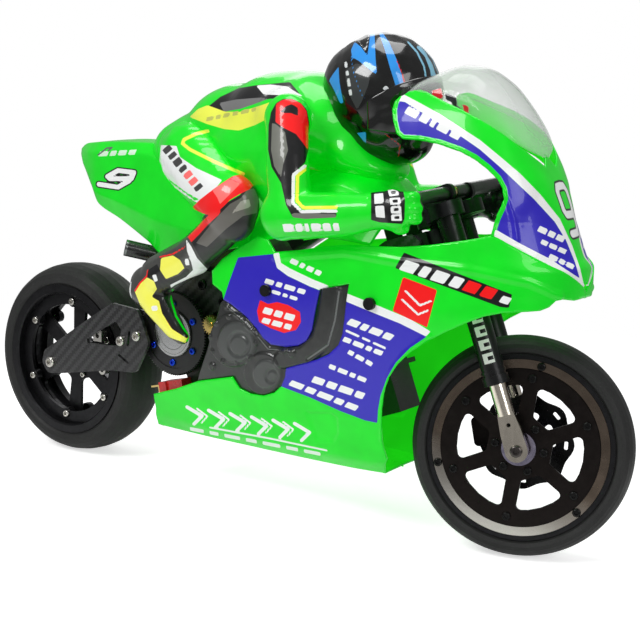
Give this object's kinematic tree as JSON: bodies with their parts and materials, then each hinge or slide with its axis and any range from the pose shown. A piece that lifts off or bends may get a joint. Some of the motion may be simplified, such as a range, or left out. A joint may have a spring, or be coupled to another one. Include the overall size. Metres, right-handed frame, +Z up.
{
  "type": "radio controlled model motorcycle",
  "caption": "Radio controlled racing motorcycle model with faired body, rider figure, steering fork, sprung swingarm and geared rear drive.",
  "frame": {"origin": "ground plane under the centre of the whole object's box", "axes": "+X forwards, +Y to the rider's left, +Z up"},
  "size_m": [0.397, 0.1238, 0.2447],
  "materials": {
    "carbon_plate": "twill weave carbon laminate, satin",
    "anodised_black": "black anodised, satin",
    "alloy_silver": "machined, satin",
    "slider_titanium": "pale gold plated tube, polished",
    "steel_screw": "nickel plated",
    "black_screw": "black oxide",
    "blue_screw": "blue anodised",
    "gear_black": "moulded nylon",
    "brass": "machined",
    "steel": "ground",
    "tyre": "slick, matt",
    "spoke_brown": "dark brown-black anodised",
    "weight_ring": "bronze coated",
    "shell_green": "clear sheet painted inside, fluorescent green",
    "window_grey": "smoke grey print",
    "clear_screen": "clear formed sheet",
    "suit": "painted riding suit",
    "helmet": "gloss black with blue chevrons",
    "visor": "dark tinted visor",
    "red_plug": "moulded red",
    "battery_wrap": "shrink wrap",
    "plastic_black": "moulded",
    "motor_metal": "turned, dark anodised",
    "spring_steel": "bright spring"
  },
  "bodies": {
    "chassis": {"frame_plates": "carbon_plate", "frame_standoffs": "anodised_black", "frame_screws": "black_screw", "frame_bearings": "steel", "steering_head": "anodised_black", "bar_bracket": "anodised_black", "crash_bar_front": "plastic_black", "seat_subframe": "carbon_plate", "crash_tubes_rear": "plastic_black", "battery_pack": "battery_wrap", "power_connector": "red_plug", "electronics": "plastic_black", "motor_can": "motor_metal", "steering_servo": "plastic_black", "side_fairing_right": "shell_green", "side_fairing_left": "shell_green", "engine_covers": "window_grey", "thumb_screws": "anodised_black", "nose_cowl": "shell_green", "windscreen": "clear_screen", "seat_tail_cowl": "shell_green", "tank_cover": "shell_green", "rider_torso": "suit", "rider_arms": "suit", "rider_legs": "suit", "helmet_shell": "helmet", "helmet_visor": "visor"},
    "swingarm": {"swingarm_plates": "carbon_plate", "swingarm_inner_arms": "anodised_black", "swingarm_screws": "steel_screw", "rear_axle": "steel", "drive_chain": "steel"},
    "rear_wheel": {"rear_tyre": "tyre", "rear_rim": "anodised_black", "rear_spoke_plates": "anodised_black", "rear_wheel_screws": "steel_screw", "rear_hub": "alloy_silver", "rear_sprocket": "alloy_silver"},
    "drive_shaft": {"drive_shaft": "steel", "spur_gear": "gear_black", "gear_screws": "blue_screw"},
    "motor_rotor": {"pinion": "brass"},
    "shock_body": {"shock_body": "alloy_silver", "shock_spring": "spring_steel"},
    "shock_rod": {"shock_rod": "alloy_silver"},
    "steering": {"fork_clamp_top": "anodised_black", "fork_clamp_bottom": "anodised_black", "fork_tubes": "anodised_black"},
    "fork_lower": {"fork_sliders": "slider_titanium", "front_axle": "steel", "brake_caliper": "spoke_brown"},
    "front_wheel": {"front_tyre": "tyre", "front_rim": "anodised_black", "front_spoke_plates": "spoke_brown", "front_weight_rings": "weight_ring", "front_wheel_bolts": "black_screw", "front_hub": "alloy_silver", "brake_disc": "black_screw"},
    "servo_arm": {"servo_arm": "plastic_black"},
    "steering_link": {"steering_link": "steel"}
  },
  "joints": [
    {"name": "steering", "type": "hinge", "parent": "chassis", "child": "steering", "pos_m": [0.1371, 0, 0.0526], "axis": [-0.3665, 0, 0.9304], "range_deg": [-44.6, 5.4]},
    {"name": "fork_slide", "type": "slide", "parent": "steering", "child": "fork_lower", "axis": [-0.3665, 0, 0.9304], "range_m": [0, 0.0085], "stiffness_N_per_m": 900},
    {"name": "front_wheel_spin", "type": "hinge", "parent": "fork_lower", "child": "front_wheel", "pos_m": [0.14755, 0.00343, 0.05238], "axis": [-0.3121, 0.9421, -0.1229], "continuous": true},
    {"name": "swingarm_pivot", "type": "hinge", "parent": "chassis", "child": "swingarm", "pos_m": [-0.0524, 0, 0.084], "axis": [0, 1, 0], "range_deg": [-4, 8]},
    {"name": "rear_wheel_spin", "type": "hinge", "parent": "swingarm", "child": "rear_wheel", "pos_m": [-0.1419, 0, 0.0565], "axis": [0, 1, 0], "continuous": true},
    {"name": "drive_shaft_spin", "type": "hinge", "parent": "chassis", "child": "drive_shaft", "pos_m": [-0.0524, 0, 0.084], "axis": [0, 1, 0], "continuous": true},
    {"name": "motor_spin", "type": "hinge", "parent": "chassis", "child": "motor_rotor", "pos_m": [-0.02557, 0, 0.092], "axis": [0, 1, 0], "continuous": true},
    {"name": "shock_swing", "type": "hinge", "parent": "chassis", "child": "shock_body", "pos_m": [-0.0589, 0, 0.121], "axis": [0, 1, 0], "range_deg": [-0.98, 1.95]},
    {"name": "shock_stroke", "type": "slide", "parent": "shock_body", "child": "shock_rod", "axis": [-0.3419, 0, -0.9397], "range_m": [-0.0028, 0.0014], "deforming": ["shock_spring"]},
    {"name": "servo_turn", "type": "hinge", "parent": "chassis", "child": "servo_arm", "pos_m": [0.08872, 0, 0.03354], "axis": [-0.3665, 0, 0.9304], "range_deg": [-45.5, 6]},
    {"name": "link_swing", "type": "hinge", "parent": "servo_arm", "child": "steering_link", "pos_m": [0.05937, 0.01696, 0.09157], "axis": [-0.3665, 0, 0.9304], "range_deg": [-6, 45.5]}
  ],
  "couplings": [
    {"joint": "drive_shaft_spin", "follows": "rear_wheel_spin", "ratio": 2.4},
    {"joint": "motor_spin", "follows": "rear_wheel_spin", "ratio": -11.04},
    {"joint": "shock_swing", "follows": "swingarm_pivot", "ratio": 0.23234},
    {"joint": "shock_stroke", "follows": "swingarm_pivot", "m_per_rad": -0.01909},
    {"joint": "servo_turn", "follows": "steering", "ratio": 1},
    {"joint": "link_swing", "follows": "steering", "ratio": -1}
  ]
}
